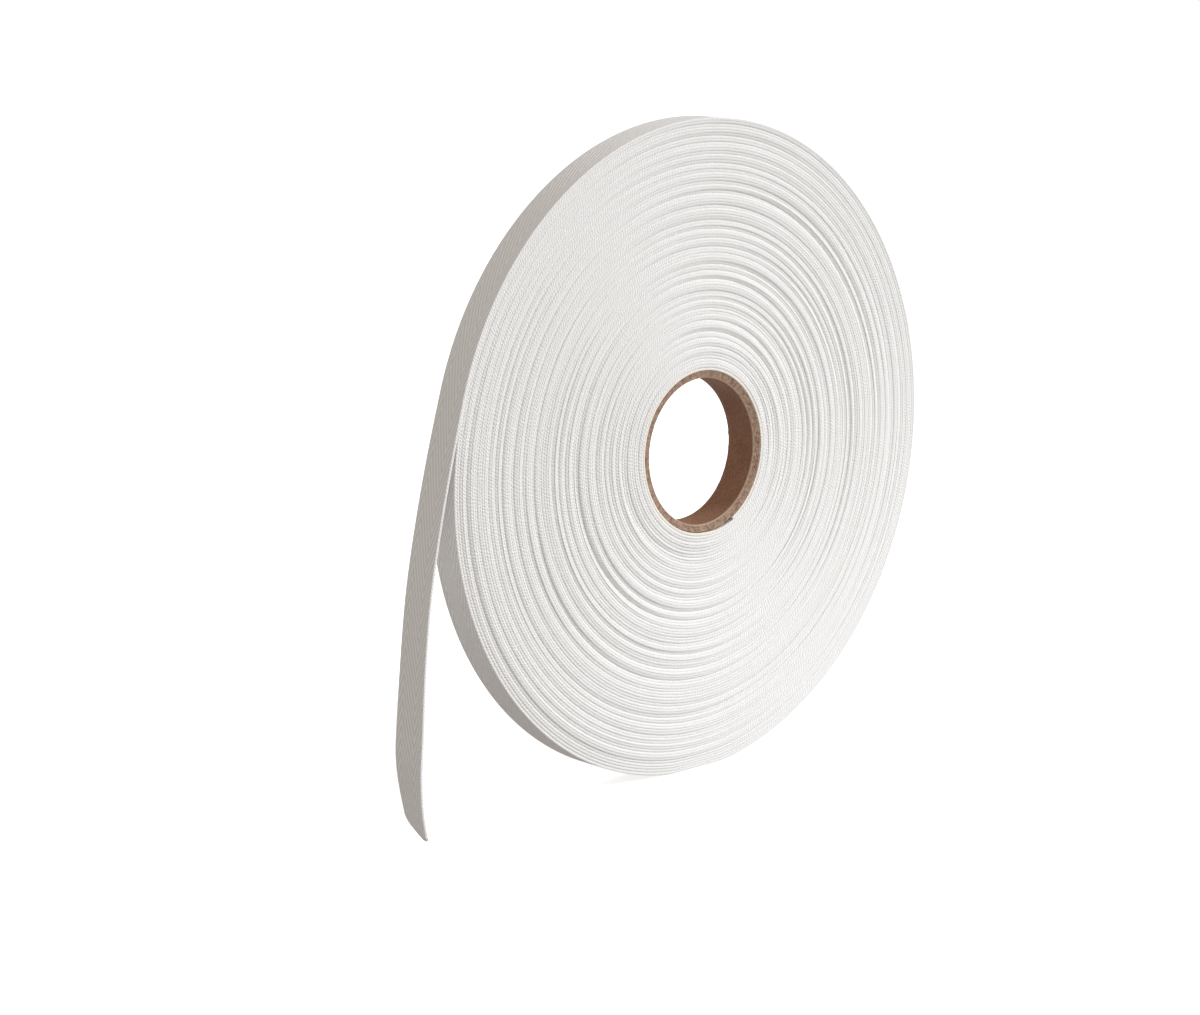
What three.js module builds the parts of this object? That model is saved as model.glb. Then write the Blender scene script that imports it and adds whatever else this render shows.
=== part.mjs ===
// A roll of white twill tape, standing on its edge, with its loose end hanging at the left.
// Millimetres, +Z up. The origin is the middle of the flat spot that the roll stands on.
// The roll's axis runs along Y and its front face looks towards -Y.
// Angles round the roll are in degrees from +X, anticlockwise as seen from the front.

import * as THREE from 'three';

// Sizes of the tape and of the roll wound from it
const rollRadius = 114.6; // to the outside of the last turn, where it leaves the roll
const tapeWidth = 11.6;
const tapeThickness = 1;
const clearance = 0.3; // between neighbouring pieces

// Sizes of the cardboard tube
const coreBoreRadius = 26;
const coreWall = 2.4;
const coreLength = 12;
const coreSetBack = 1.15; // from the front edges of the tape to the front end of the tube
const coreChamfer = 0.3;
const coreSquash = 0.024; // the share by which the tube is longer one way, and shorter across it
const coreLongWay = -35; // degrees from +X to the way in which it is longer
const coreShift = { x: 0.6, z: -0.1 }; // the tube lies a little off the middle of the roll

// Where the last turn leaves the roll, and how it is flattened underneath
const leavingAngle = 164.5;
const stepWidth = 0.1; // degrees taken by the step down behind the last turn
const flatAngle = -90;
const flatReach = 5; // degrees that the flat spot takes to each side

// How finely the round forms are divided
const rollColumns = 72;
const coreSides = 64;

// Bands of turns stand out on the front face between grooves, and the back face follows,
// because every turn has the same width. A groove's radius and how far its turns are set back:
const grooves = [
  { radius: 34.5, setBack: 0.3 },
  { radius: 40.0, setBack: 0.4 },
  { radius: 45.5, setBack: 0.4 },
  { radius: 51.0, setBack: 0.45 },
  { radius: 56.5, setBack: 0.55 },
  { radius: 60.0, setBack: 0.55 },
  { radius: 65.5, setBack: 0.45 },
  { radius: 71.5, setBack: 0.55 },
  { radius: 77.0, setBack: 0.55 },
  { radius: 80.5, setBack: 0.45 },
  { radius: 86.0, setBack: 0.3 },
  { radius: 90.0, setBack: 0.4 },
  { radius: 95.0, setBack: 0.5 },
  { radius: 100.0, setBack: 0.4 },
  { radius: 105.5, setBack: 0.35 },
  { radius: 110.5, setBack: 0.3 },
];
const bandStandsOut = 0.3; // a band's crest, in front of the tape's nominal edge

// How the loose end hangs along its length, in degrees: its lean outwards from straight down,
// and its twist, which takes the back selvedge outwards and the front one inwards
const hang = [
  { along: 0, lean: 15.5, twist: 0 },
  { along: 16, lean: 14.5, twist: 1.5 },
  { along: 36, lean: 12.5, twist: 2 },
  { along: 56, lean: 10, twist: 2.5 },
  { along: 72, lean: 6, twist: 2.5 },
  { along: 88, lean: 4.5, twist: 3 },
  { along: 100, lean: 3.5, twist: 5 },
  { along: 114, lean: 3, twist: 7 },
  { along: 124, lean: -6, twist: 0 },
  { along: 134, lean: -10, twist: -8 },
  { along: 146, lean: -18, twist: -12 },
];
const looseLength = 144.5; // along its front selvedge, to the tip of the slanting cut
const slantLength = 7; // how much shorter the back selvedge is
const hangStep = 5; // between cross-sections of the hanging stretch
const slantSteps = 14;
const tipShare = 0.06; // of the width, left at the blunt tip
const pathStep = 0.25;

const halfWidth = tapeWidth / 2;
const coreRadius = coreBoreRadius + coreWall;
const boreRadius = coreRadius + clearance; // of the wound tape, round the tube
const lastStep = tapeThickness + clearance;
const radians = THREE.MathUtils.degToRad;

// Colours and finishes

const tapeCloth = new THREE.MeshStandardMaterial({ color: 0xf1f1ef, roughness: 0.9, metalness: 0 });
const cardboard = new THREE.MeshStandardMaterial({ color: 0x8a6a52, roughness: 0.85, metalness: 0 });

// Joins rows of points into one closed body. Every row runs round the same closed outline,
// and the rows either close on each other or end in a flat cap at both ends.
function bodyFromRows(rows, closed) {
  const perRow = rows[0].length;
  const positions = rows.flat(2);
  const triangles = [];
  const joins = closed ? rows.length : rows.length - 1;
  for (let row = 0; row < joins; row += 1) {
    const next = (row + 1) % rows.length;
    for (let place = 0; place < perRow; place += 1) {
      const beside = (place + 1) % perRow;
      const [a, b] = [row * perRow + place, row * perRow + beside];
      const [c, d] = [next * perRow + beside, next * perRow + place];
      triangles.push(a, b, c, a, c, d);
    }
  }
  if (!closed) {
    const last = (rows.length - 1) * perRow;
    for (let place = 1; place < perRow - 1; place += 1) {
      triangles.push(0, place + 1, place);
      triangles.push(last, last + place, last + place + 1);
    }
  }
  const geometry = new THREE.BufferGeometry();
  geometry.setAttribute('position', new THREE.Float32BufferAttribute(positions, 3));
  geometry.setIndex(triangles);
  geometry.computeVertexNormals();
  return geometry;
}

// The wound tape

// The last turn lies on the one before it, so the outside grows by one step in a full turn.
function outerRadius(angle) {
  const turnsBack = THREE.MathUtils.euclideanModulo(leavingAngle - angle, 360) / 360;
  return rollRadius - lastStep * turnsBack;
}

const middleHeight = outerRadius(flatAngle) * Math.cos(radians(flatReach));

function rimPoint(angle) {
  const radius = outerRadius(angle);
  const onFlat = Math.abs(angle - flatAngle) <= flatReach;
  return {
    x: radius * Math.cos(radians(angle)),
    z: onFlat ? 0 : middleHeight + radius * Math.sin(radians(angle)),
  };
}

// Turns near the tube share its middle and its squashed form, and turns further out move over
// to the roll's own middle and grow round.
function turnPoint(radius, angle) {
  const inwards = (rollRadius - radius) / (rollRadius - boreRadius);
  const squash = coreSquash * inwards;
  const longWay = radians(coreLongWay);
  const fromLongWay = radians(angle) - longWay;
  const long = radius * (1 + squash) * Math.cos(fromLongWay);
  const short = radius * (1 - squash) * Math.sin(fromLongWay);
  return {
    x: coreShift.x * inwards + long * Math.cos(longWay) - short * Math.sin(longWay),
    z:
      middleHeight + coreShift.z * inwards + long * Math.sin(longWay) + short * Math.cos(longWay),
  };
}

// Crests stand midway between grooves. The first lies against the tube and the last at the rim.
function faceProfile() {
  const profile = [{ radius: boreRadius, sideways: 0 }];
  let previous = boreRadius;
  for (const { radius, setBack } of grooves) {
    profile.push({ radius: (previous + radius) / 2, sideways: -bandStandsOut });
    profile.push({ radius, sideways: setBack });
    previous = radius;
  }
  return profile;
}

// Even steps round the roll, but for one that would fall next to the step of the last turn.
function rollAngles() {
  const spacing = 360 / rollColumns;
  const even = Array.from({ length: rollColumns }, (_, column) => column * spacing - 180);
  const kept = even.filter((angle) => Math.abs(angle - leavingAngle) > spacing / 4);
  return [...kept, leavingAngle, leavingAngle + stepWidth].sort((one, other) => one - other);
}

function woundRoll() {
  const profile = faceProfile();
  const rows = rollAngles().map((angle) => {
    const rim = rimPoint(angle);
    const front = profile.map(({ radius, sideways }) => {
      const { x, z } = turnPoint(radius, angle);
      return [x, sideways - halfWidth, z];
    });
    const back = profile.map(({ radius, sideways }) => {
      const { x, z } = turnPoint(radius, angle);
      return [x, sideways + halfWidth, z];
    });
    return [...front, [rim.x, -halfWidth, rim.z], [rim.x, halfWidth, rim.z], ...back.reverse()];
  });
  return bodyFromRows(rows, true);
}

// The cardboard tube

function coreTube() {
  const half = coreLength / 2;
  const profile = [
    [coreBoreRadius, -half + coreChamfer],
    [coreBoreRadius + coreChamfer, -half],
    [coreRadius - coreChamfer, -half],
    [coreRadius, -half + coreChamfer],
    [coreRadius, half - coreChamfer],
    [coreRadius - coreChamfer, half],
    [coreBoreRadius + coreChamfer, half],
    [coreBoreRadius, half - coreChamfer],
    [coreBoreRadius, -half + coreChamfer],
  ];
  return new THREE.LatheGeometry(profile.map(([x, y]) => new THREE.Vector2(x, y)), coreSides);
}

// The loose end

function hangAt(along) {
  const after = Math.max(hang.findIndex((row) => row.along >= along), 1);
  const [from, to] = [hang[after - 1], hang[after]];
  return {
    lean: radians(THREE.MathUtils.mapLinear(along, from.along, to.along, from.lean, to.lean)),
    twist: radians(THREE.MathUtils.mapLinear(along, from.along, to.along, from.twist, to.twist)),
  };
}

// The middle of the loose end's width and thickness, from where it leaves the roll to its tip
function hangingPath() {
  const start = rollRadius - tapeThickness / 2;
  const away = radians(leavingAngle);
  const gap = clearance + start * radians(stepWidth);
  const path = [];
  let x = start * Math.cos(away) - gap * Math.sin(away);
  let z = middleHeight + start * Math.sin(away) + gap * Math.cos(away);
  for (let along = 0; along <= looseLength; along += pathStep) {
    const { lean, twist } = hangAt(along);
    path.push({ middle: new THREE.Vector3(x, 0, z), lean, twist });
    x -= pathStep * Math.sin(lean);
    z -= pathStep * Math.cos(lean);
  }
  return path;
}

// The cut takes more and more off the back selvedge, along a curve that is steepest there.
function looseSections() {
  const shortLength = looseLength - slantLength;
  const sections = [];
  for (let along = 0; along < shortLength - hangStep / 2; along += hangStep) {
    sections.push({ along, width: tapeWidth });
  }
  for (let step = 0; step <= slantSteps; step += 1) {
    const share = step / slantSteps;
    const cutAway = (1 - tipShare) * share ** 2;
    sections.push({ along: shortLength + slantLength * share, width: tapeWidth * (1 - cutAway) });
  }
  return sections;
}

function looseEnd() {
  const path = hangingPath();
  const rows = looseSections().map(({ along, width }) => {
    const { middle, lean, twist } = path[Math.round(along / pathStep)];
    const level = new THREE.Vector3(0, 1, 0);
    const leaning = new THREE.Vector3(-Math.cos(lean), 0, Math.sin(lean));
    const across = level.clone().multiplyScalar(Math.cos(twist));
    across.addScaledVector(leaning, Math.sin(twist));
    const outwards = leaning.clone().multiplyScalar(Math.cos(twist));
    outwards.addScaledVector(level, -Math.sin(twist));
    const corner = (sideways, out) => {
      const place = middle.clone().addScaledVector(across, sideways);
      return place.addScaledVector(outwards, out).toArray();
    };
    const half = tapeThickness / 2;
    const back = width - halfWidth;
    return [
      corner(-halfWidth, half),
      corner(back, half),
      corner(back, -half),
      corner(-halfWidth, -half),
    ];
  });
  return bodyFromRows(rows, false);
}

// The part

const group = new THREE.Group();

const roll = new THREE.Mesh(woundRoll(), tapeCloth);
roll.name = 'wound_roll';
group.add(roll);

const core = new THREE.Mesh(coreTube(), cardboard);
core.name = 'core';
core.scale.set(1 + coreSquash, 1, 1 - coreSquash);
core.rotation.y = -radians(coreLongWay);
core.position.set(
  coreShift.x,
  coreSetBack - halfWidth + coreLength / 2,
  middleHeight + coreShift.z,
);
group.add(core);

const loose = new THREE.Mesh(looseEnd(), tapeCloth);
loose.name = 'loose_end';
group.add(loose);

export default group;
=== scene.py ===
# %% [markdown]
# # A roll of white twill tape
# The object is a narrow woven tape, wound flat on a short brown cardboard tube. The roll stands
# on its edge, and the tape's loose end hangs down at the left.
#
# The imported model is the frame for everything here. It gives the place and size of three
# pieces: `wound_roll`, `core` and `loose_end`. Lengths below are in metres, written as
# millimetres times `mm`, with +Z up and the roll's front face towards -Y.

# %% Load the frame
import math

import bpy
import numpy as np
from mathutils import Matrix, Vector, noise


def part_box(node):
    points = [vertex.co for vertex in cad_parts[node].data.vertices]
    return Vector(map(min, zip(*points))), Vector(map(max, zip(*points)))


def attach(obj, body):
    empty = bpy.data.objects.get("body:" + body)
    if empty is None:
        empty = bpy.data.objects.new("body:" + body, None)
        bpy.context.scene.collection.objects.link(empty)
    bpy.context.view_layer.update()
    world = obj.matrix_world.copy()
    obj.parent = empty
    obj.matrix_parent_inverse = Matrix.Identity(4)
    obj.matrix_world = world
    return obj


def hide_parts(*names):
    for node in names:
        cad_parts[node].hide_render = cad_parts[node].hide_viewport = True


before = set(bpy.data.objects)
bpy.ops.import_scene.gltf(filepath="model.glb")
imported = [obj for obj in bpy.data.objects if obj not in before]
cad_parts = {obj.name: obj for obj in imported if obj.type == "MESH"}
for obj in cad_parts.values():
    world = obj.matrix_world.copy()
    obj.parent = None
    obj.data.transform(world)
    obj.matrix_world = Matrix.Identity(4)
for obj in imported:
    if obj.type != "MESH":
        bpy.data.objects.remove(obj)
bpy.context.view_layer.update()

mm = 0.001
print("Nodes in the frame:", ", ".join(sorted(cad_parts)))

# %% [markdown]
# ## The camera
# The camera stands a little to the left of the roll and looks slightly down on it, so the rim
# shows as a narrow band at the left. Its place is in metres and its turn is given by three
# angles: round the object, above the horizon, and a small roll of the picture.

# %% Place the camera
camera_place = Vector((-0.6905, -0.6577, 0.2893))
camera_azimuth = math.radians(-44.517)
camera_elevation = math.radians(11.670)
camera_roll = math.radians(0.658)
lens_length = 84.0  # millimetres
sensor_width = 36  # millimetres

backwards = Vector((
    math.sin(camera_azimuth) * math.cos(camera_elevation),
    -math.cos(camera_azimuth) * math.cos(camera_elevation),
    math.sin(camera_elevation),
))
level_right = Vector((0, 0, 1)).cross(backwards).normalized()
level_up = backwards.cross(level_right)
camera_right = math.cos(camera_roll) * level_right + math.sin(camera_roll) * level_up
camera_up = math.cos(camera_roll) * level_up - math.sin(camera_roll) * level_right
turn = Matrix((camera_right, camera_up, backwards)).transposed()

camera = bpy.data.objects.new("camera", bpy.data.cameras.new("camera"))
camera.data.sensor_width = sensor_width
camera.data.lens = lens_length
camera.data.clip_start = 0.01
camera.matrix_world = Matrix.Translation(camera_place) @ turn.to_4x4()
bpy.context.scene.collection.objects.link(camera)
bpy.context.scene.camera = camera
print("Camera stands", round(camera_place.length, 3), "m from the origin")

# %% [markdown]
# ## The winding, as numbers
# A roll like this is wound by turning the tube while the tape runs on. Its outside grows by one
# thickness of tape a turn. The same few sizes as in the CAD model say where every turn lies:
# the radius of the last turn where it leaves the roll, the tube, and how far the tube lies off
# the middle of the roll and is squashed.

# %% Sizes of the roll
roll_radius = 114.6 * mm  # to the outside of the last turn, where it leaves the roll
tape_width = 11.6 * mm
tape_thickness = 1.0 * mm
leaving_angle = 164.5  # degrees from +X, anticlockwise as seen from the front

bore_radius = 28.7 * mm  # of the wound tape, round the tube
core_shift_x = 0.6 * mm
core_shift_z = -0.1 * mm
core_squash = 0.024  # the share by which the tube is longer one way, and shorter across it
core_long_way = math.radians(-35)  # the way in which it is longer

core_low, core_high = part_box("core")
core_middle = (Vector(core_low) + Vector(core_high)) / 2
middle_height = core_middle.z - core_shift_z
print("The roll's middle is", round(middle_height / mm, 1), "mm above the floor")

# %% [markdown]
# ### How the tape winds outwards
# `winding` is how far back a place on the tape is from where it leaves the roll, in degrees of
# turning. A plain spiral would leave a gap beside the tube. So the first turn lies tight round the
# tube and then climbs over its own start, and this step fades in the next turns.

# %% Wind outwards from the tube
start_angle = -60  # where the tape starts on the tube, in degrees from +X
whole_turns = 84
climb_share = 0.08  # of a turn, in which the tape climbs over its own start
climb_fades = 10  # turns, until the step can't be felt any more

half_thickness = tape_thickness / 2
last_radius = roll_radius - half_thickness
first_radius = bore_radius + half_thickness
first_winding = 360 * whole_turns + leaving_angle - start_angle
turn_pitch = 360 * (last_radius - first_radius) / first_winding


def winding_radius(winding):
    """Radius of the middle of the tape's thickness."""
    turned = (first_winding - winding) / 360
    part = np.mod(turned, 1)
    climbed = np.clip((part - 1 + climb_share) / climb_share, 0, 1)
    tightness = np.clip(1 - turned / climb_fades, 0, 1)
    return first_radius + turn_pitch * (turned + tightness * (climbed - part))


print(f"The tape goes {first_winding / 360:.1f} times round the tube, {turn_pitch / mm:.3f} mm a turn")

# %% [markdown]
# ### Where a turn lies
# Turns near the tube share its middle and its oval form, and turns further out grow round. The
# turns underneath give under the roll's weight, so the outermost ones are lifted on to a small flat
# spot. Turns deeper in the roll feel it less and less.

# %% Place a turn on the plane of the roll
soft_depth = 12 * mm  # how deep into the roll the flat spot can be felt
flat_rounding = 0.15 * mm  # softens both ends of the flat spot


def oval_place(radius, angle, squash):
    """A point of an oval: how far right, and how high. It is longest the tube's long way."""
    long = radius * (1 + squash) * np.cos(angle - core_long_way)
    short = radius * (1 - squash) * np.sin(angle - core_long_way)
    across = long * math.cos(core_long_way) - short * math.sin(core_long_way)
    height = long * math.sin(core_long_way) + short * math.cos(core_long_way)
    return across, height


def turn_places(winding):
    """The middle of the tape on the plane of the roll: how far right, and how high."""
    radius = winding_radius(winding)
    angle = np.radians(leaving_angle - winding)
    inwards = (last_radius - radius) / (last_radius - first_radius)
    across, height = oval_place(radius, angle, core_squash * inwards)
    outside = roll_radius - turn_pitch * np.mod(winding, 360) / 360
    depth = np.maximum(outside - radius - half_thickness, 0)
    under = -outside * np.sin(angle) - middle_height
    pressed = (under + np.hypot(under, flat_rounding)) / 2
    lifted = pressed * np.maximum(1 - depth / soft_depth, 0) ** 2
    return core_shift_x * inwards + across, middle_height + core_shift_z * inwards + height + lifted


lowest = turn_places(np.array([leaving_angle + 90]))[1][0] - half_thickness
print(f"The lowest turn's underside is {lowest / mm:.2f} mm above the floor")

# %% [markdown]
# ### Ridges and grooves on the faces
# No winder lays every turn exactly beside the last. A few turns stand out together, the next ones
# lie a little back, and the light shows this as rings. Every turn has the same width, so a ridge
# on the front face is a groove on the back one. The grooves are a short table. They wander and
# come and go round the roll, each with a phase of its own. At the lower left the outermost turns
# have slipped back, so the face slopes away to its edge there.

# %% Say how far each turn stands out
grooves = [  # (radius in millimetres, how far its turns lie back in millimetres)
    (32.2, 0.25), (34.8, 0.30), (37.3, 0.40), (39.9, 0.35), (42.5, 0.40), (45.4, 0.38),
    (48.4, 0.38), (50.9, 0.40), (53.1, 0.45), (56.3, 0.50), (59.9, 0.55), (62.8, 0.35),
    (65.6, 0.42), (68.6, 0.35), (71.6, 0.50), (74.6, 0.25), (77.0, 0.55), (80.3, 0.45),
    (84.4, 0.30), (89.6, 0.45), (93.3, 0.45), (96.5, 0.30), (99.9, 0.35), (102.3, 0.20),
    (105.7, 0.30), (108.7, 0.30), (111.7, 0.15),
]
groove_width = 1.0 * mm
groove_strength = 1.25
groove_wander = 0.5 * mm  # how far a groove strays once a turn, and half as far twice a turn
come_and_go = 0.25  # the share by which its depth changes round the roll
deepest_angle = math.radians(70)  # the side on which all the grooves are deepest
deepest_share = 0.2
ridge_height = 0.22 * mm
slip_start, slip_end = 107.5 * mm, 113 * mm
slip_depth = 1.1 * mm
slip_angle = math.radians(218)
slip_narrowness = 1.5  # the higher, the shorter the stretch of the rim that has slipped
first_turn_back = 0.2 * mm  # the turns against the tube lie back by themselves


def stands_out(radius, angle):
    """How far the tape stands out towards the front."""
    forward = np.full(len(radius), ridge_height)
    for groove, (groove_radius, set_back) in enumerate(grooves):
        wander = groove_wander * np.sin(angle + 2.4 * groove)
        wander += groove_wander / 2 * np.sin(2 * angle + groove)
        strength = 1 + deepest_share * np.cos(angle - deepest_angle)
        strength += come_and_go * np.sin(angle + 1.7 * groove)
        strength += come_and_go * np.sin(3 * angle + 0.9 * groove)
        away = (radius - groove_radius * mm - wander) / groove_width
        forward -= groove_strength * set_back * mm * strength * np.exp(-away ** 2)
    forward -= first_turn_back * np.exp(-((radius - first_radius) / turn_pitch) ** 2)
    slipped = np.clip((radius - slip_start) / (slip_end - slip_start), 0, 1)
    slip_share = np.maximum(np.cos(angle - slip_angle), 0) ** slip_narrowness
    return forward - slip_depth * slipped * slip_share


print(len(grooves), "grooves between", grooves[0][0], "and", grooves[-1][0], "mm")

# %% [markdown]
# A turn on the side of a ridge is slanted as the ridge is, so its slope is needed too. Besides,
# each turn strays a little by itself, along a smooth random line that is the same on every run.

# %% Slopes and straying
slope_reach = 0.3 * mm  # to both sides of a turn's middle, where the slope of a ridge is taken
stray_height = 0.04 * mm
stray_slope = 0.05
stray_length = 45 * mm  # of tape, before a turn's straying changes
chance = np.random.default_rng(12)


def slope_of_ridge(radius, angle):
    """How steeply the faces rise there, from the middle of the roll outwards."""
    rise = stands_out(radius + slope_reach, angle) - stands_out(radius - slope_reach, angle)
    return rise / (2 * slope_reach)


def wandering(count, spread, smoothing):
    """A smooth random line with a given spread."""
    window = np.exp(-0.5 * np.linspace(-3, 3, 2 * smoothing + 1) ** 2)
    line = np.convolve(chance.normal(size=count + 2 * smoothing), window, mode="valid")
    return spread * line / line.std()


print("A turn strays by about", stray_height / mm, "mm, and changes every", stray_length / mm, "mm")

# %% [markdown]
# ## Cloth for the tape
# Twill tape is woven in herringbone: the lines of the weave slant one way, then turn back. On this
# tape they turn at about a third and four fifths of the width. At both edges the weft turns round
# the last warp threads and makes a row of small beads, and these are all that shows of a wound
# turn. The relief is far below a millimetre, so it is a bump in the material. Every piece of tape
# carries an attribute `tape_place`, in metres: how far along the tape, how far from its front
# edge, and how far through it. The pattern follows it, so it runs round the roll with the tape.

# %% Helpers that start a material


def new_material(name):
    """An empty material with its tree and its Principled shader."""
    material = bpy.data.materials.new(name)
    material.use_nodes = True
    tree = material.node_tree
    return material, tree, tree.nodes["Principled BSDF"]


def read_place(tree, attribute):
    """A vector attribute, whole and as its three numbers."""
    node = tree.nodes.new("ShaderNodeAttribute")
    node.attribute_name = attribute
    parts = tree.nodes.new("ShaderNodeSeparateXYZ")
    tree.links.new(node.outputs["Vector"], parts.inputs[0])
    return node.outputs["Vector"], parts.outputs["X"], parts.outputs["Y"], parts.outputs["Z"]


def add_bump(tree, shader, height):
    """Lets a height in metres roughen the shader's surface."""
    node = tree.nodes.new("ShaderNodeBump")
    node.inputs["Strength"].default_value = 1.0
    node.inputs["Distance"].default_value = 1.0
    tree.links.new(height, node.inputs["Height"])
    tree.links.new(node.outputs["Normal"], shader.inputs["Normal"])


print("Materials can be started")

# %% [markdown]
# The patterns are sums of waves, ramps and noise. Built from Math nodes one by one they would fill
# pages, so a few helpers each add one kind of node and hand back its result.

# %% Helpers that calculate in a material


def put(tree, socket, value):
    """Links a socket to a node's output, or sets it to a plain value."""
    if isinstance(value, bpy.types.NodeSocket):
        tree.links.new(value, socket)
    else:
        socket.default_value = value


def math_node(tree, operation, *values):
    """One Math node, with its result."""
    node = tree.nodes.new("ShaderNodeMath")
    node.operation = operation
    for socket, value in zip(node.inputs, values):
        put(tree, socket, value)
    return node.outputs["Value"]


def weighted_sum(tree, *parts):
    """Adds values up, each times its own weight."""
    total = 0.0
    for value, weight in parts:
        total = math_node(tree, "MULTIPLY_ADD", value, weight, total)
    return total


def ramp(tree, value, low, high, from_low, from_high):
    """Goes smoothly from low to high while the value goes from one limit to the other."""
    node = tree.nodes.new("ShaderNodeMapRange")
    node.interpolation_type = "SMOOTHSTEP"
    for name, given in (
        ("Value", value), ("From Min", from_low), ("From Max", from_high),
        ("To Min", low), ("To Max", high),
    ):
        put(tree, node.inputs[name], given)
    return node.outputs["Result"]


def waves(tree, phase):
    """A smooth wave from 0 to 1, one for each whole number of the phase."""
    turned = math_node(tree, "MULTIPLY", phase, 2 * math.pi)
    return math_node(tree, "MULTIPLY_ADD", math_node(tree, "SINE", turned), 0.5, 0.5)


def speckle(tree, vector, scale, detail=2.0):
    """Random noise round 0.5, at a number of spots a metre."""
    node = tree.nodes.new("ShaderNodeTexNoise")
    tree.links.new(vector, node.inputs["Vector"])
    node.inputs["Scale"].default_value = scale
    node.inputs["Detail"].default_value = detail
    return node.outputs["Fac"]


def blend_colours(tree, share, first, second):
    """Mixes two colours by a share from 0 to 1."""
    node = tree.nodes.new("ShaderNodeMix")
    node.data_type = "RGBA"
    put(tree, node.inputs["Factor"], share)
    for name, colour in (("A", first), ("B", second)):
        socket = next(s for s in node.inputs if s.name == name and s.type == "RGBA")
        put(tree, socket, colour)
    return next(s for s in node.outputs if s.type == "RGBA")


print("Material helpers are ready")

# %% [markdown]
# The herringbone is folded rather than drawn three times. Between its two turning lines the
# distance across the tape counts upwards, and outside them it counts back down, so slanting lines
# drawn over the folded distance turn back at both places and still join up.

# %% Draw the herringbone
front_turning = 0.30 * tape_width  # where the weave's lines turn back
back_turning = 0.80 * tape_width
line_pitch = 1.3 * mm  # between the weave's lines, measured across the tape
line_slope = math.tan(math.radians(17))  # of the lines, against the tape's length
thread_pitch = 0.55 * mm

tape, tree, cloth = new_material("white_twill")
cloth.inputs["Roughness"].default_value = 0.9
cloth.inputs["Specular IOR Level"].default_value = 0.15
cloth.inputs["Sheen Weight"].default_value = 0.08
cloth.inputs["Sheen Roughness"].default_value = 0.6
place, along, from_front, through = read_place(tree, "tape_place")

beyond_front = math_node(tree, "SUBTRACT", front_turning, from_front)
beyond_back = math_node(tree, "SUBTRACT", from_front, back_turning)
folded = math_node(tree, "MULTIPLY_ADD", math_node(tree, "MAXIMUM", beyond_front, 0.0), 2.0, from_front)
folded = math_node(tree, "MULTIPLY_ADD", math_node(tree, "MAXIMUM", beyond_back, 0.0), -2.0, folded)
slanting = math_node(tree, "MULTIPLY_ADD", along, line_slope, folded)
lines = waves(tree, math_node(tree, "DIVIDE", slanting, line_pitch))
threads = waves(tree, math_node(tree, "DIVIDE", along, thread_pitch))
print("Herringbone lines are", line_pitch / mm, "mm apart")

# %% [markdown]
# The beads of the selvedge slant through the tape's thickness. Left even, they would line up from
# turn to turn and draw rays on the roll's face, so noise shifts them along the tape.

# %% Add beads and flecks, and raise the relief
selvedge_width = 0.5 * mm
selvedge_blend = 0.3 * mm  # over which the weave gives way to the beads
bead_pitch = 1.15 * mm
bead_lean = 0.8  # how far a bead runs along the tape, for the same distance through it
bead_wander = 4 * mm  # how far the beads stray along the tape, so that turns don't match
bead_wander_spots = 120  # a metre, as for the other spots
fleck_spots = 900
line_height = 0.10 * mm
thread_height = 0.025 * mm
bead_height = 0.09 * mm
fleck_height = 0.05 * mm

from_middle = math_node(tree, "ABSOLUTE", math_node(tree, "SUBTRACT", from_front, tape_width / 2))
selvedge_start = tape_width / 2 - selvedge_width
at_edge = ramp(tree, from_middle, 0.0, 1.0, selvedge_start, selvedge_start + selvedge_blend)
off_edge = math_node(tree, "SUBTRACT", 1.0, at_edge)
bead_along = math_node(tree, "MULTIPLY_ADD", through, bead_lean, along)
bead_shift = speckle(tree, place, bead_wander_spots)
bead_along = math_node(tree, "MULTIPLY_ADD", bead_shift, bead_wander, bead_along)
beads = waves(tree, math_node(tree, "DIVIDE", bead_along, bead_pitch))
flecks = speckle(tree, place, fleck_spots)

flank_relief = weighted_sum(
    tree, (flecks, fleck_height), (threads, thread_height), (lines, line_height)
)
edge_relief = weighted_sum(tree, (flecks, fleck_height), (beads, bead_height))
add_bump(tree, cloth, weighted_sum(tree, (edge_relief, at_edge), (flank_relief, off_edge)))
print("Beads are", bead_pitch / mm, "mm apart")

# %% [markdown]
# White cloth isn't one white. Painted shade makes the hollows between the lines a little darker than
# the crests, and the selvedges stay light. A warm reflection of the brown tube is painted on the tape
# against it.

# %% Colour the cloth
# The hollow colour is painted shade, for the hollows of the weave and between the beads.
painted_hollow_shade = (0.71, 0.695, 0.675, 1)
tape_crest = (0.93, 0.92, 0.90, 1)
# A painted reflection: warm light thrown back by the brown tube onto the first turn.
tube_reflection_tint = (0.95, 0.86, 0.72, 1)
flank_flecks = 0.25  # the share of the flecks in how light the woven sides are
edge_lightness = 0.5
edge_flecks = 0.5
edge_beads = 0.22
reflection_strength = 0.5
reflection_fade = 0.05  # of the first turn, over which the painted reflection ends
first_turn_length = 2 * math.pi * bore_radius

# The weave's lines and the beads paint shade into the hollows, and the flecks vary the tone at random.
flank_share = weighted_sum(tree, (flecks, flank_flecks), (lines, 1 - flank_flecks))
edge_share = weighted_sum(tree, (flecks, edge_flecks), (beads, edge_beads))
edge_share = math_node(tree, "ADD", edge_share, edge_lightness)
edge_share = math_node(tree, "MULTIPLY", edge_share, at_edge)
light_share = math_node(tree, "MAXIMUM", flank_share, edge_share)
colour = blend_colours(tree, light_share, painted_hollow_shade, tape_crest)
# The painted reflection of the tube covers the first turn and fades out at its end.
reflection_start = (1 - reflection_fade) * first_turn_length
reflection_end = (1 + reflection_fade) * first_turn_length
reflection_tinted = ramp(tree, along, reflection_strength, 0.0, reflection_start, reflection_end)
colour = blend_colours(tree, reflection_tinted, colour, tube_reflection_tint)
tree.links.new(colour, cloth.inputs["Base Color"])
print("The first", round(first_turn_length / mm), "mm of tape are stained by the tube")

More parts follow.
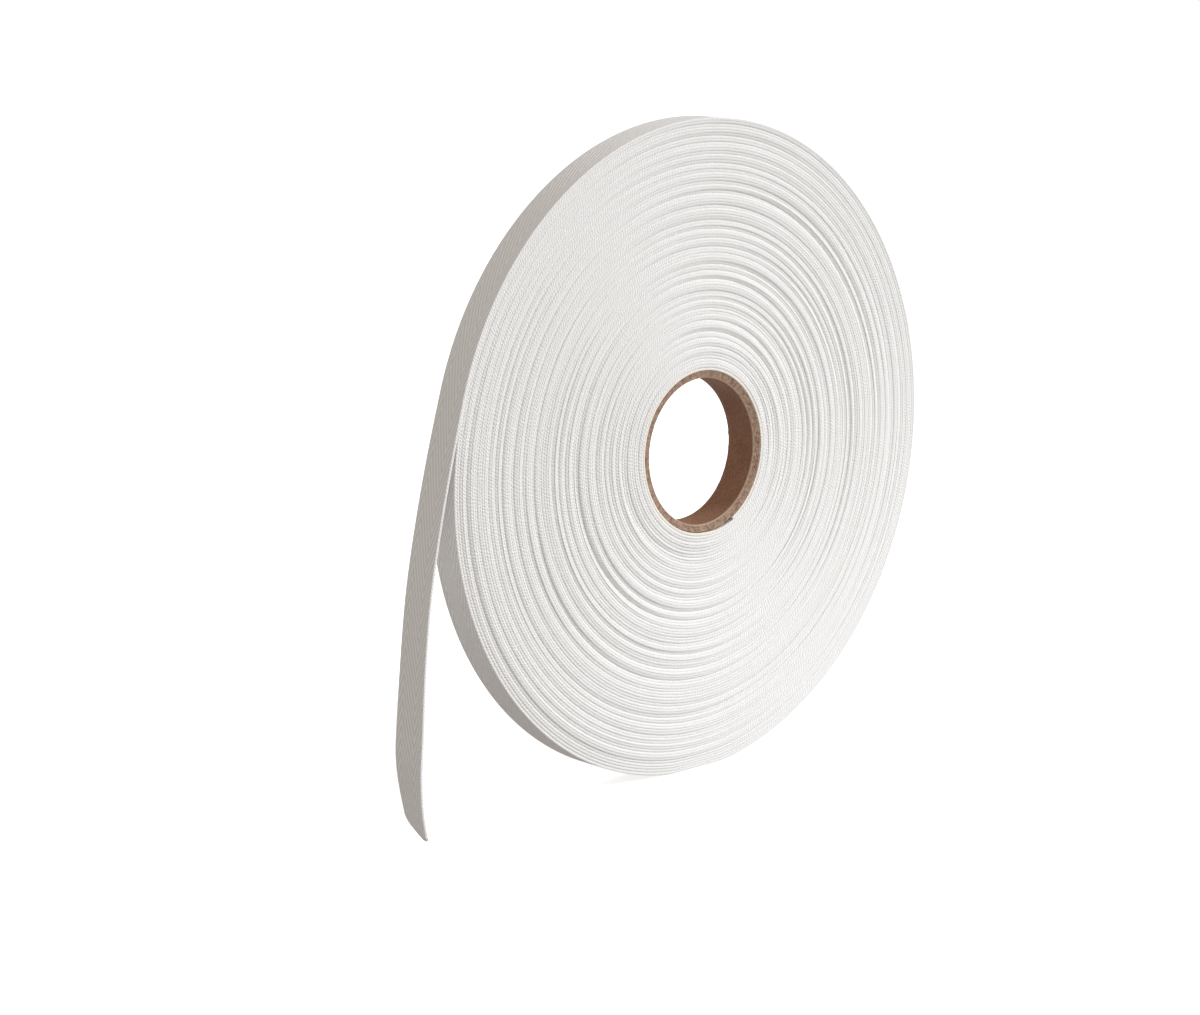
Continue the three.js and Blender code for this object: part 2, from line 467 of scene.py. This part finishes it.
# %% [markdown]
# ## The wound turns
# On the real roll these are one long tape. Drawing eighty-five rings would give rings that never
# join, so a Geometry Nodes tree sweeps the tape's rounded section along one long spiral instead.
# The tape is wound lying down, front face up, and the tree then stands it up. That way the
# section's upright stays upright all along, which is what the `Z_UP` normals mean.

# %% Start the tree with its inputs and its route


def add_node(tree, kind, **settings):
    """A new node with its properties set."""
    node = tree.nodes.new(kind)
    for name, value in settings.items():
        setattr(node, name, value)
    return node


winding_tree = bpy.data.node_groups.new("wind_tape", "GeometryNodeTree")
winding_tree.is_modifier = True
for name, in_out, kind in (
    ("Route", "INPUT", "NodeSocketGeometry"),
    ("Tape Width", "INPUT", "NodeSocketFloat"),
    ("Tape Thickness", "INPUT", "NodeSocketFloat"),
    ("Selvedge Bulge", "INPUT", "NodeSocketFloat"),
    ("Section Points", "INPUT", "NodeSocketInt"),
    ("Cloth", "INPUT", "NodeSocketMaterial"),
    ("Tape", "OUTPUT", "NodeSocketGeometry"),
):
    winding_tree.interface.new_socket(name, in_out=in_out, socket_type=kind)

given = add_node(winding_tree, "NodeGroupInput").outputs
link = winding_tree.links.new

route = add_node(winding_tree, "GeometryNodeMeshToCurve")
link(given["Route"], route.inputs["Mesh"])
upright = add_node(winding_tree, "GeometryNodeSetCurveNormal", mode="Z_UP")
link(route.outputs["Curve"], upright.inputs["Curve"])
print("The tree's inputs:", ", ".join(given.keys()[:-1]))

# %% [markdown]
# The section starts as a ring. Its X, from -1 to 1, becomes the tape's thickness: it is stretched a
# little and cut off flat, which gives the flat sides. Its Y becomes the width: half a ring is pushed
# out to each selvedge.

# %% Draw the tape's section
selvedge_bulge = 0.26 * mm  # how far the rounded edges reach beyond the flat sides
flat_stretch = 1.15  # a ring is stretched by this before it is cut off flat at both sides

ring = add_node(winding_tree, "GeometryNodeCurvePrimitiveCircle")
link(given["Section Points"], ring.inputs["Resolution"])
ring.inputs["Radius"].default_value = 1
ring_place = add_node(winding_tree, "GeometryNodeInputPosition").outputs["Position"]
on_ring = add_node(winding_tree, "ShaderNodeSeparateXYZ")
link(ring_place, on_ring.inputs[0])
spread = math_node(winding_tree, "MULTIPLY", on_ring.outputs["X"], flat_stretch)
spread = math_node(winding_tree, "MAXIMUM", math_node(winding_tree, "MINIMUM", spread, 1.0), -1.0)
half_depth = math_node(winding_tree, "MULTIPLY", given["Tape Thickness"], 0.5)
half_width = math_node(winding_tree, "MULTIPLY", given["Tape Width"], 0.5)
straight = math_node(winding_tree, "SUBTRACT", half_width, given["Selvedge Bulge"])
side = math_node(winding_tree, "SIGN", on_ring.outputs["Y"])
pushed_out = math_node(winding_tree, "MULTIPLY", side, straight)
bulged = math_node(
    winding_tree, "MULTIPLY_ADD", on_ring.outputs["Y"], given["Selvedge Bulge"], pushed_out
)
section_place = add_node(winding_tree, "ShaderNodeCombineXYZ")
link(math_node(winding_tree, "MULTIPLY", spread, half_depth), section_place.inputs["X"])
link(bulged, section_place.inputs["Y"])
section = add_node(winding_tree, "GeometryNodeSetPosition")
link(ring.outputs["Curve"], section.inputs["Geometry"])
link(section_place.outputs["Vector"], section.inputs["Position"])
print("The selvedges bulge by", selvedge_bulge / mm, "mm")

# %% [markdown]
# The sweep joins the section's points into a long body. What is stored on the section before it,
# and on the route, is still there on the swept mesh.

# %% Sweep the section along the route


def store(tree, geometry, name, value, data_type):
    """Keeps a value on the points of a geometry under a name."""
    node = add_node(tree, "GeometryNodeStoreNamedAttribute", data_type=data_type, domain="POINT")
    node.inputs["Name"].default_value = name
    tree.links.new(geometry, node.inputs["Geometry"])
    tree.links.new(value, node.inputs["Value"])
    return node.outputs["Geometry"]


def stored(tree, name, data_type):
    """Reads a stored value back."""
    node = add_node(tree, "GeometryNodeInputNamedAttribute", data_type=data_type)
    node.inputs["Name"].default_value = name
    return node.outputs["Attribute"]


drawn_place = add_node(winding_tree, "GeometryNodeInputPosition").outputs["Position"]
marked = store(
    winding_tree, section.outputs["Geometry"], "section_place", drawn_place, "FLOAT_VECTOR"
)
sweep = add_node(winding_tree, "GeometryNodeCurveToMesh")
link(upright.outputs["Curve"], sweep.inputs["Curve"])
link(marked, sweep.inputs["Profile Curve"])
sweep.inputs["Fill Caps"].default_value = True
print("The tree sweeps a rounded section along a route")

# %% [markdown]
# A point's place on the route and on the section together make the `tape_place` that the cloth
# reads. They also let a turn on the side of a ridge be slanted to match it: the points further out
# are moved forwards or back by the stored slope, so that the selvedges make one soft surface.

# %% Slant and mark the swept tape
on_section = add_node(winding_tree, "ShaderNodeSeparateXYZ")
link(stored(winding_tree, "section_place", "FLOAT_VECTOR"), on_section.inputs[0])
slope = stored(winding_tree, "slope", "FLOAT")
moved = add_node(winding_tree, "ShaderNodeCombineXYZ")
link(math_node(winding_tree, "MULTIPLY", slope, on_section.outputs["X"]), moved.inputs["Z"])
slanted = add_node(winding_tree, "GeometryNodeSetPosition")
link(sweep.outputs["Mesh"], slanted.inputs["Geometry"])
link(moved.outputs["Vector"], slanted.inputs["Offset"])

front_distance = math_node(winding_tree, "ADD", half_width, on_section.outputs["Y"])
tape_place = add_node(winding_tree, "ShaderNodeCombineXYZ")
link(stored(winding_tree, "along", "FLOAT"), tape_place.inputs["X"])
link(front_distance, tape_place.inputs["Y"])
link(on_section.outputs["X"], tape_place.inputs["Z"])
placed = store(
    winding_tree, slanted.outputs["Geometry"], "tape_place", tape_place.outputs["Vector"],
    "FLOAT_VECTOR",
)
print("Every point of the swept tape knows its place on the tape")

# %% [markdown]
# At the end the tree turns the tape from lying down to standing up, shades it smooth, and gives
# it its cloth. Instances are made real, because an export would drop them.

# %% Stand the tape up and finish the tree
stood_up = add_node(winding_tree, "GeometryNodeTransform")
link(placed, stood_up.inputs["Geometry"])
stood_up.inputs["Rotation"].default_value = (math.radians(90), 0, 0)
smooth = add_node(winding_tree, "GeometryNodeSetShadeSmooth")
link(stood_up.outputs["Geometry"], smooth.inputs["Geometry"])
real = add_node(winding_tree, "GeometryNodeRealizeInstances")
link(smooth.outputs["Geometry"], real.inputs["Geometry"])
dressed = add_node(winding_tree, "GeometryNodeSetMaterial")
link(real.outputs["Geometry"], dressed.inputs["Geometry"])
link(given["Cloth"], dressed.inputs["Material"])
link(dressed.outputs["Geometry"], add_node(winding_tree, "NodeGroupOutput").inputs["Tape"])
print(len(winding_tree.nodes), "nodes in the tree")

# %% [markdown]
# The route is worked out once for the whole roll, point by point from the tube outwards. It ends
# a little way under the outermost turn, which is a piece of its own.

# %% Work out the route
last_turn = 380  # degrees of the outermost turn, which starts 20 degrees under its own end
tucked_under = 4  # degrees that the wound turns go on under the outermost one
turn_steps = 190  # points of the route on one turn

step_count = int((first_winding - last_turn) / 360 * turn_steps)
windings = np.linspace(first_winding, last_turn - tucked_under, step_count)
route_across, route_height = turn_places(windings)
steps = np.hypot(np.diff(route_across), np.diff(route_height))
route_along = np.concatenate(([0], np.cumsum(steps)))
stray_steps = round(stray_length / float(np.mean(steps)))

route_radius = winding_radius(windings)
route_angle = np.radians(leaving_angle - windings)
route_forward = stands_out(route_radius, route_angle)
route_forward += wandering(step_count, stray_height, stray_steps)
route_slope = slope_of_ridge(route_radius, route_angle)
route_slope += wandering(step_count, stray_slope, stray_steps)
print(f"{route_along[-1]:.1f} m of tape is wound under the last turn")

# %% [markdown]
# One mesh of all the turns would be heavy to handle, so the route is cut in three. Each cut lies
# inside the roll, where the pieces share one point of the route.

# %% Wind the turns in three pieces
piece_ends = ("inner", "middle", "outer")
tree_inputs = {
    "Tape Width": tape_width,
    "Tape Thickness": tape_thickness,
    "Selvedge Bulge": selvedge_bulge,
    "Section Points": 14,
    "Cloth": tape,
}


def wind_piece(name, first, last):
    """Sweeps one stretch of the route and returns it as a plain mesh object."""
    points = np.column_stack((route_across, route_height, route_forward))[first:last]
    mesh = bpy.data.meshes.new(name + "_route")
    mesh.from_pydata(points.tolist(), [(i, i + 1) for i in range(len(points) - 1)], [])
    for attribute, values in (("along", route_along), ("slope", route_slope)):
        mesh.attributes.new(attribute, "FLOAT", "POINT").data.foreach_set(
            "value", values[first:last].astype(np.float32)
        )
    carrier = bpy.data.objects.new(name + "_route", mesh)
    bpy.context.scene.collection.objects.link(carrier)
    modifier = carrier.modifiers.new("wind_tape", "NODES")
    modifier.node_group = winding_tree
    for item in winding_tree.interface.items_tree:
        if item.name in tree_inputs:
            modifier[item.identifier] = tree_inputs[item.name]
    evaluated = carrier.evaluated_get(bpy.context.evaluated_depsgraph_get())
    piece = bpy.data.objects.new(name, bpy.data.meshes.new_from_object(evaluated))
    bpy.data.objects.remove(carrier)
    bpy.context.scene.collection.objects.link(piece)
    return piece


cuts = np.linspace(0, step_count, len(piece_ends) + 1).astype(int)
for part, first, last in zip(piece_ends, cuts[:-1], cuts[1:]):
    wound = wind_piece(f"tape_turns_{part}", first, min(last + 1, step_count))
    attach(wound, "root")
    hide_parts("wound_roll")
    print(wound.name, "has", sum(len(p.vertices) - 2 for p in wound.data.polygons), "triangles")

# %% [markdown]
# ## The last turn and the loose end
# The outermost turn and the loose end are one stretch of cloth that shows its woven side, so they
# are one piece. It starts under itself, goes once round the roll, leaves it and hangs down. It
# leans away from the roll, straightens, and curls inwards towards its slanting cut, turning a
# little about its own length as it goes. A short table gives this, and its corners are rounded off.

# %% How the loose end hangs
hang = [  # (millimetres along, lean outwards from straight down, twist of the back edge outwards)
    (0, 15.5, 0), (16, 14.5, 1.5), (36, 12.5, 2), (56, 10, 2.5), (72, 6, 2.5), (88, 4.5, 3),
    (100, 3.5, 5), (114, 3, 7), (124, -6, 0), (134, -10, -8), (146, -18, -12),
]
loose_length = 144.5 * mm  # on the front edge, to the tip of the slanting cut
clearance = 0.3 * mm  # between the last turn's end and the free part
step_down = math.radians(0.1)  # taken by the step behind the last turn
row_step = 1 * mm
smoothing_rows = 4

hang_along = np.arange(0, loose_length + row_step / 2, row_step)
hang_table = np.array(hang)


def smooth_column(column):
    """A column of the table at each row, in radians, with its corners rounded off."""
    window = np.hanning(2 * smoothing_rows + 3)
    fine = np.interp(hang_along / mm, hang_table[:, 0], hang_table[:, column])
    padded = np.pad(fine, smoothing_rows + 1, mode="edge")
    return np.radians(np.convolve(padded, window / window.sum(), mode="valid"))


lean = smooth_column(1)
twist = smooth_column(2)
away = math.radians(leaving_angle)
hang_gap = clearance + roll_radius * step_down
start_across = last_radius * math.cos(away) - hang_gap * math.sin(away)
start_height = middle_height + last_radius * math.sin(away) + hang_gap * math.cos(away)
hang_across = start_across - np.concatenate(([0], np.cumsum(row_step * np.sin(lean[:-1]))))
hang_height = start_height - np.concatenate(([0], np.cumsum(row_step * np.cos(lean[:-1]))))
print("The loose end's tip hangs", round(hang_height[-1] / mm, 1), "mm above the floor")

# %% [markdown]
# The piece is built from rows of points, one for each step along the tape, joined into a thin
# closed body. A row runs once round the same rounded section as the wound turns have. Near the
# cut a row is narrower, and there its rounding gets smaller too.

# %% Helpers for bodies made of rows
sheet_points = 20
bulges_across = 2.2  # a row is never narrower than this many of its own bulges


def sheet_section(width):
    """Points round the tape's section: how far from the front edge, and how far out."""
    bulge = min(selvedge_bulge, width / bulges_across)
    points = []
    for step in range(sheet_points):
        turned = 2 * math.pi * (step + 0.5) / sheet_points
        out = half_thickness * max(-1, min(1, flat_stretch * math.sin(turned)))
        straight_part = math.copysign(width / 2 - bulge, math.cos(turned))
        points.append((width / 2 + straight_part + bulge * math.cos(turned), out))
    return points


def body_from_rows(name, rows, places, attribute, closed):
    """Joins rows of points that run round one outline into a closed body."""
    per_row = len(rows[0])
    count = len(rows)
    faces = []
    for row in range(count if closed else count - 1):
        following = (row + 1) % count
        for point in range(per_row):
            beside = (point + 1) % per_row
            faces.append((
                row * per_row + point, row * per_row + beside,
                following * per_row + beside, following * per_row + point,
            ))
    if not closed:
        faces.append(tuple(reversed(range(per_row))))
        faces.append(tuple(range((count - 1) * per_row, count * per_row)))
    mesh = bpy.data.meshes.new(name)
    mesh.from_pydata([tuple(point) for row in rows for point in row], [], faces)
    flat = np.array(places, dtype=np.float32).ravel()
    mesh.attributes.new(attribute, "FLOAT_VECTOR", "POINT").data.foreach_set("vector", flat)
    mesh.shade_smooth()
    mesh.update()
    body = bpy.data.objects.new(name, mesh)
    bpy.context.scene.collection.objects.link(body)
    return body


print("The section's points:", len(sheet_section(tape_width)))

# %% [markdown]
# The turn follows the same spiral as the turns under it, and comes back to the middle of the
# roll's width before it leaves. The slanting cut takes more and more off the back edge, along a
# curve that is steepest there.

# %% Make the last turn and the loose end
settling = 40  # degrees before it leaves the roll, in which the turn comes back to the middle
slant_length = 7 * mm  # how much shorter the back edge is
tip_share = 0.06  # of the width, left at the blunt tip
rows, places = [], []


def add_row(middle, across, outwards, width, distance):
    """Adds a row round the section, with its places on the tape."""
    section_row = sheet_section(width)
    rows.append([middle + across * (y - tape_width / 2) + outwards * out for y, out in section_row])
    places.append([(distance, y, out) for y, out in section_row])


last_windings = np.arange(last_turn, 0, -math.degrees(row_step / roll_radius))
turn_across, turn_height = turn_places(last_windings)
turn_forward = stands_out(winding_radius(last_windings), np.radians(leaving_angle - last_windings))
turn_forward *= np.clip(last_windings / settling, 0, 1)
for winding, x, z, forward in zip(last_windings, turn_across, turn_height, turn_forward):
    angle = math.radians(leaving_angle - winding)
    outwards = Vector((math.cos(angle), 0, math.sin(angle)))
    turned_length = route_along[-1] + math.radians(last_turn - winding) * roll_radius
    add_row(Vector((x, -forward, z)), Vector((0, 1, 0)), outwards, tape_width, turned_length)

for step, along_free in enumerate(hang_along):
    cut_share = max(0, along_free - (loose_length - slant_length)) / slant_length
    width = tape_width * (1 - (1 - tip_share) * min(cut_share, 1) ** 2)
    leaning = Vector((-math.cos(lean[step]), 0, math.sin(lean[step])))
    across = Vector((0, math.cos(twist[step]), 0)) + leaning * math.sin(twist[step])
    outwards = leaning * math.cos(twist[step]) - Vector((0, math.sin(twist[step]), 0))
    middle = Vector((hang_across[step], 0, hang_height[step]))
    add_row(middle, across, outwards, width, turned_length + along_free)

last_stretch = body_from_rows("last_turn_and_loose_end", rows, places, "tape_place", closed=False)
last_stretch.data.materials.append(tape)
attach(last_stretch, "root")
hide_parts("loose_end")

# %% [markdown]
# ## The cardboard tube
# Such a tube is wound from strips of brown paper, glued in several layers, and cut to length with
# a saw. The cut leaves rough ends on which the layers show as fine rings. It is a little askew, so
# the front end reaches further forward on the left, and on the right the outer layers are pulled up
# and torn. A ring of rows gives the oval form, and small noise on the end faces gives the rough cut.

# %% Shape the tube's ends
core_bore = 26.0 * mm
core_outside = 28.6 * mm
core_front, core_back = core_low[1], core_high[1]
edge_round = 0.15 * mm
face_points = 9  # across one end, and as many along the bore
rough_cut = 0.22 * mm
cut_spots = 900  # a metre, of the rough cut
pulled_low, pulled_high = 0.05 * mm, 0.95 * mm  # of the outer layers, beyond the inner edge
pulled_angle = math.radians(-5)  # where they are pulled up furthest
pull_curve = 1.3  # above 1, so that the layers bend up more towards the outside
tear_depth = 0.5  # the share by which the torn edge goes up and down
tear_spots = 12  # on one radius of the tube, so a tear is about 2 mm wide
outer_share = 0.7  # of the pull, left at the outside's own edge
askew = 0.45 * mm  # how much further forward the front end reaches on the other side


def end_face(turned, end, away, pulled):
    """Points across one end of the tube, from the bore outwards. `away` is -1 at the front."""
    face_start = core_bore + edge_round
    face_end = core_outside - edge_round / 2
    face = []
    for share in np.linspace(0, 1, face_points):
        radius = face_start + share * (face_end - face_start)
        across, height = oval_place(radius, turned, core_squash)
        roughness = rough_cut * noise.noise(Vector((across, end, height)) * cut_spots)
        face.append((radius, end + away * (pulled * share ** pull_curve + roughness)))
    return face


print("The tube reaches from", round(core_front / mm, 2), "to", round(core_back / mm, 2), "mm")

# %% [markdown]
# Every column of the tube runs round its wall: forwards along the bore, out over the front end,
# back along the outside, and in over the back end. Each point also keeps its place on the paper:
# how far round, how far along the axis, and how deep in the wall.

# %% Make the tube
core_columns = 360

rows, places = [], []
for column in range(core_columns):
    turned = 2 * math.pi * column / core_columns
    round_tube = Vector((math.cos(turned), math.sin(turned), 0))
    torn = 1 + tear_depth * noise.noise(round_tube * tear_spots)
    nearness = 0.5 + 0.5 * math.cos(turned - pulled_angle)
    pulled = (pulled_low + (pulled_high - pulled_low) * nearness) * torn
    front = core_front - askew * (1 - nearness)
    along_bore = np.linspace(core_back - edge_round, front + edge_round, face_points)
    outline = [
        *((core_bore, y) for y in along_bore),
        *end_face(turned, front, -1, pulled),
        (core_outside, front - outer_share * pulled),
        (core_outside, core_back - edge_round),
        *reversed(end_face(turned, core_back, 1, pulled_low)),
    ]
    rows.append([])
    for radius, y in outline:
        across, height = oval_place(radius, turned, core_squash)
        rows[-1].append((core_middle.x + across, y, core_middle.z + height))
    places.append([(turned * core_bore, y, radius - core_bore) for radius, y in outline])

tube = body_from_rows("cardboard_tube", rows, places, "tube_place", closed=True)
print(len(tube.data.polygons), "faces on the tube")

# %% [markdown]
# ## Brown cardboard
# The paper is a dull warm brown with short fibres in it. The sawn ends are lighter and show the
# layers. Inside the bore, one slanting seam shows where a strip of paper meets its neighbour. The
# fibres are noise in Object coordinates, and the layers and the seam follow the tube's attribute.

# %% Draw fibres, layers and the seam
fibre_spots = 1400  # a metre, as for the other spots
cloud_spots = 160
splinter_spots = 850
layer_pitch = 0.52 * mm
seam_slope = 0.9
seam_place = 46 * mm  # round the bore, where the seam crosses the middle of the roll's width
seam_spread = 0.35 * mm

card, tree, paper = new_material("brown_cardboard")
paper.inputs["Roughness"].default_value = 0.85
paper.inputs["Specular IOR Level"].default_value = 0.2
place, around, lengthwise, in_wall = read_place(tree, "tube_place")
own_place = tree.nodes.new("ShaderNodeTexCoord").outputs["Object"]

fibres = speckle(tree, own_place, fibre_spots, detail=4.0)
clouds = speckle(tree, own_place, cloud_spots, detail=3.0)
splinters = speckle(tree, own_place, splinter_spots, detail=3.0)
layers = waves(tree, math_node(tree, "DIVIDE", in_wall, layer_pitch))
seam_reach = math_node(tree, "MULTIPLY_ADD", lengthwise, seam_slope, around)
seam_away = math_node(tree, "ABSOLUTE", math_node(tree, "SUBTRACT", seam_reach, seam_place))
seam = ramp(tree, seam_away, 1.0, 0.0, 0.0, seam_spread)
print("Paper layers are", layer_pitch / mm, "mm apart")

# %% [markdown]
# Three places are told apart: the smooth bore, the sawn wall with a little of the bore beside it, which
# is a painted highlight there, and a brighter painted highlight on the edge where the two meet at the
# front.

# %% Colour the cardboard
paper_dark = (0.230, 0.115, 0.066, 1)
paper_light = (0.350, 0.190, 0.120, 1)
sawn_dark = (0.175, 0.100, 0.065, 1)
sawn_light = (0.500, 0.345, 0.250, 1)
# A painted highlight: the bright line where the bore meets the front end.
edge_highlight_colour = (0.640, 0.480, 0.370, 1)
seam_dark = (0.110, 0.065, 0.040, 1)
# The lighter strip at the front of the bore is a painted highlight, in the sawn wall's colour.
lit_strip_start, lit_strip_end = 0.1 * mm, 0.6 * mm  # from the front end into the bore
wall_start, wall_end = 0.02 * mm, 0.3 * mm  # from the bore into the wall
highlight_start, highlight_end = 0.1 * mm, 0.45 * mm
lit_strip_share = 0.6
highlight_share = 0.7
seam_share = 0.5
cloud_share = 0.3  # in the bore's mottle, and the fibres make the rest
layer_share = 0.25  # in the sawn wall's mottle, and the splinters make the rest
bore_darkest, bore_lightest = 0.3, 0.7  # values of the mottle
sawn_darkest, sawn_lightest = 0.22, 0.74

near_end = ramp(tree, lengthwise, 1.0, 0.0, core_front + lit_strip_start, core_front + lit_strip_end)
on_wall = ramp(tree, in_wall, 0.0, 1.0, wall_start, wall_end)
# Painted highlight: the front of the bore takes some of the sawn wall's lighter colour.
painted_lit_strip = math_node(tree, "MULTIPLY", near_end, lit_strip_share)
sawn = math_node(tree, "MAXIMUM", on_wall, painted_lit_strip)
bore_mottle = weighted_sum(tree, (clouds, cloud_share), (fibres, 1 - cloud_share))
bore_light_share = ramp(tree, bore_mottle, 0.0, 1.0, bore_darkest, bore_lightest)
sawn_mottle = weighted_sum(tree, (splinters, 1 - layer_share), (layers, layer_share))
sawn_light_share = ramp(tree, sawn_mottle, 0.0, 1.0, sawn_darkest, sawn_lightest)
# Painted highlight along the edge between the bore and the front end.
highlight_reach = ramp(tree, in_wall, highlight_share, 0.0, highlight_start, highlight_end)
painted_edge_highlight = math_node(tree, "MULTIPLY", near_end, highlight_reach)

bore_colour = blend_colours(tree, bore_light_share, paper_dark, paper_light)
sawn_colour = blend_colours(tree, sawn_light_share, sawn_dark, sawn_light)
card_colour = blend_colours(tree, sawn, bore_colour, sawn_colour)
card_colour = blend_colours(tree, painted_edge_highlight, card_colour, edge_highlight_colour)
seam_strength = math_node(tree, "MULTIPLY", seam, seam_share)
card_colour = blend_colours(tree, seam_strength, card_colour, seam_dark)
tree.links.new(card_colour, paper.inputs["Base Color"])
print("The cardboard goes from", paper_dark[:3], "to", edge_highlight_colour[:3])

# %% [markdown]
# The relief is as fine as paper: fibres stand up a little, the seam is a shallow step, and the
# layers show as rings on the sawn wall alone.

# %% Raise the paper's relief and finish the tube
fibre_height = 0.08 * mm
seam_depth = 0.08 * mm
layer_height = 0.06 * mm

layer_rings = math_node(tree, "MULTIPLY", layers, on_wall)
paper_relief = weighted_sum(
    tree, (layer_rings, layer_height), (seam, -seam_depth), (fibres, fibre_height)
)
add_bump(tree, paper, paper_relief)

tube.data.materials.append(card)
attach(tube, "root")
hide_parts("core")
print("The tube is finished in", card.name)

# %% [markdown]
# ## Light
# The roll was lit softly from the right, in front and a little above. A sun with a wide disc gives
# the soft, slightly cool key. A low soft light at the right stands for what a pale surface under
# the roll throws back.

# %% Add the key and the bounce
key_from = Vector((0.60, -0.64, 0.48))
key_strength = 1.97
key_colour = (0.90, 0.955, 1.0)
key_softness = math.radians(14)
bounce_place = Vector((0.13, -0.20, 0.01))
bounce_target = Vector((0.04, 0, 0.02))
bounce_power = 0.18
bounce_size = 0.2

key = bpy.data.objects.new("key_light", bpy.data.lights.new("key_light", "SUN"))
key.data.energy = key_strength
key.data.color = key_colour
key.data.angle = key_softness
key.rotation_euler = key_from.to_track_quat("Z", "Y").to_euler()
bpy.context.scene.collection.objects.link(key)

bounce = bpy.data.objects.new("bounce_light", bpy.data.lights.new("bounce_light", "AREA"))
bounce.data.energy = bounce_power
bounce.data.color = key_colour
bounce.data.size = bounce_size
bounce.visible_camera = False
bounce.location = bounce_place
bounce.rotation_euler = (bounce_place - bounce_target).to_track_quat("Z", "Y").to_euler()
bpy.context.scene.collection.objects.link(bounce)
print("Key light from", tuple(round(c, 2) for c in key_from))

# %% [markdown]
# ## A white room
# A warmer sky, brighter overhead than below, fills the shadows. The camera sees plain white in its
# place, so the backdrop and the fill can be set apart from each other.

# %% Fill the shadows and whiten the backdrop
fill_above = (0.680, 0.637, 0.610, 1)
fill_below = (0.290, 0.270, 0.259, 1)
backdrop_colour = (1, 1, 1, 1)

world = bpy.data.worlds.new("white_room")
bpy.context.scene.world = world
world.use_nodes = True
room = world.node_tree
fill = room.nodes["Background"]
direction = room.nodes.new("ShaderNodeSeparateXYZ")
room.links.new(room.nodes.new("ShaderNodeTexCoord").outputs["Generated"], direction.inputs[0])
overhead = math_node(room, "MULTIPLY_ADD", direction.outputs["Z"], 0.5, 0.5)
room.links.new(blend_colours(room, overhead, fill_below, fill_above), fill.inputs["Color"])
backdrop = room.nodes.new("ShaderNodeBackground")
backdrop.inputs["Color"].default_value = backdrop_colour
seen = room.nodes.new("ShaderNodeLightPath")
either = room.nodes.new("ShaderNodeMixShader")
room.links.new(seen.outputs["Is Camera Ray"], either.inputs[0])
room.links.new(fill.outputs[0], either.inputs[1])
room.links.new(backdrop.outputs[0], either.inputs[2])
room.links.new(either.outputs[0], room.nodes["World Output"].inputs["Surface"])
bpy.context.scene.view_settings.view_transform = "Standard"
print("The room is brightest overhead, at", fill_above[0])

# %% [markdown]
# ## The floor
# The floor is nearly white and plain. It glows a little instead of throwing light back itself, so
# the shaded rim stays as grey as it should be.

# %% Lay the floor
floor_reach = 4.0
floor_glow = 0.62

floor_mesh = bpy.data.meshes.new("floor")
corners = [(x * floor_reach, y * floor_reach, 0) for x, y in ((-1, -1), (1, -1), (1, 1), (-1, 1))]
floor_mesh.from_pydata(corners, [], [(0, 1, 2, 3)])
floor = bpy.data.objects.new("floor", floor_mesh)
bpy.context.scene.collection.objects.link(floor)
pale, tree, paint = new_material("pale_floor")
paint.inputs["Base Color"].default_value = (0.9, 0.9, 0.9, 1)
paint.inputs["Roughness"].default_value = 1.0
paint.inputs["Specular IOR Level"].default_value = 0.0
paint.inputs["Emission Color"].default_value = (1, 1, 1, 1)
paint.inputs["Emission Strength"].default_value = floor_glow
floor_mesh.materials.append(pale)
floor.visible_diffuse = False
print("The floor is", 2 * floor_reach, "m wide")
